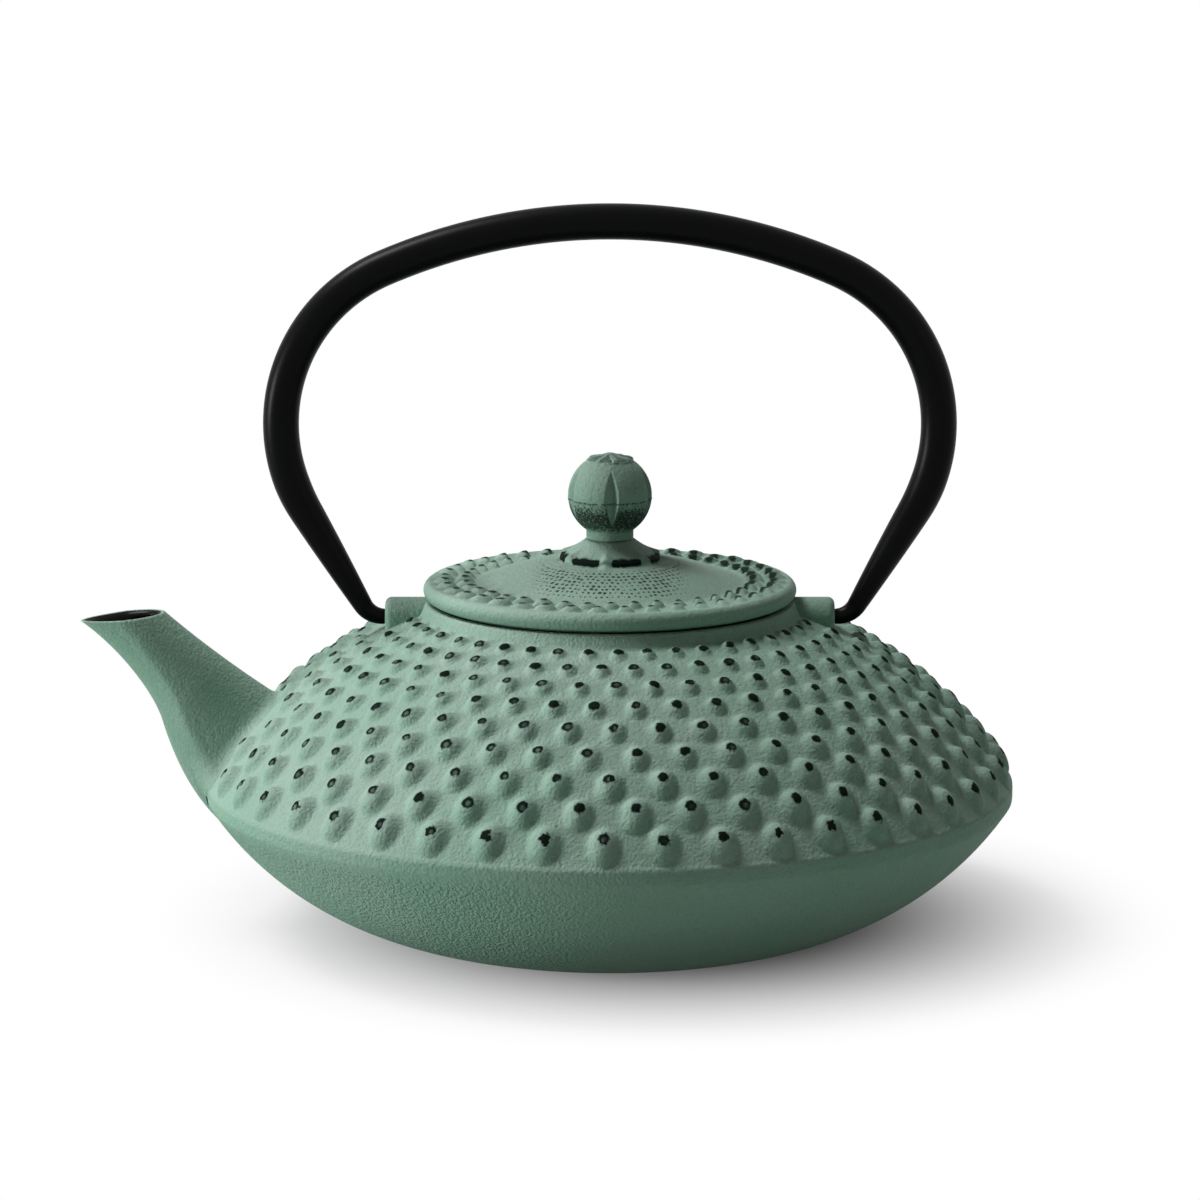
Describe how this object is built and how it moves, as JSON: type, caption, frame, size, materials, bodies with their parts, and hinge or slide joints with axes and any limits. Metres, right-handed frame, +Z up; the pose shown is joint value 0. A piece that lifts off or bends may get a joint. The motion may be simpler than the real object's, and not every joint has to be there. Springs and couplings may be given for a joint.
{
  "type": "cast iron teapot",
  "caption": "Low round cast iron teapot with a hobnail shoulder, short spout, domed lid with a ball knob, bail handle and a steel infuser.",
  "frame": {"origin": "centre of the flat base, on the surface that the pot stands on", "axes": "+Z up along the pot's axis, -X towards the spout, the handle stands in the XZ plane"},
  "size_m": [0.2345, 0.203, 0.1836],
  "materials": {
    "green_iron": "matte sage green coat on fine-grained cast iron, worn dark on the hobnails",
    "black_bow": "satin black",
    "stainless": "satin stainless steel"
  },
  "bodies": {
    "pot": {"pot_body": "green_iron"},
    "infuser": {"infuser_rim": "stainless", "infuser_wall": "stainless", "infuser_cup": "stainless"},
    "lid": {"lid": "green_iron", "lid_knob": "green_iron", "knob_washer": "stainless", "knob_screw": "stainless"},
    "handle": {"handle": "black_bow"}
  },
  "joints": [
    {"name": "handle_swing", "type": "hinge", "parent": "pot", "child": "handle", "pos_m": [0, 0, 0.0795], "axis": [1, 0, 0], "range_deg": [-102, 102]},
    {"name": "infuser_lift", "type": "slide", "parent": "pot", "child": "infuser", "axis": [0, 0, 1], "range_m": [0, 0.05]},
    {"name": "lid_lift", "type": "slide", "parent": "infuser", "child": "lid", "axis": [0, 0, 1], "range_m": [0, 0.05]}
  ]
}
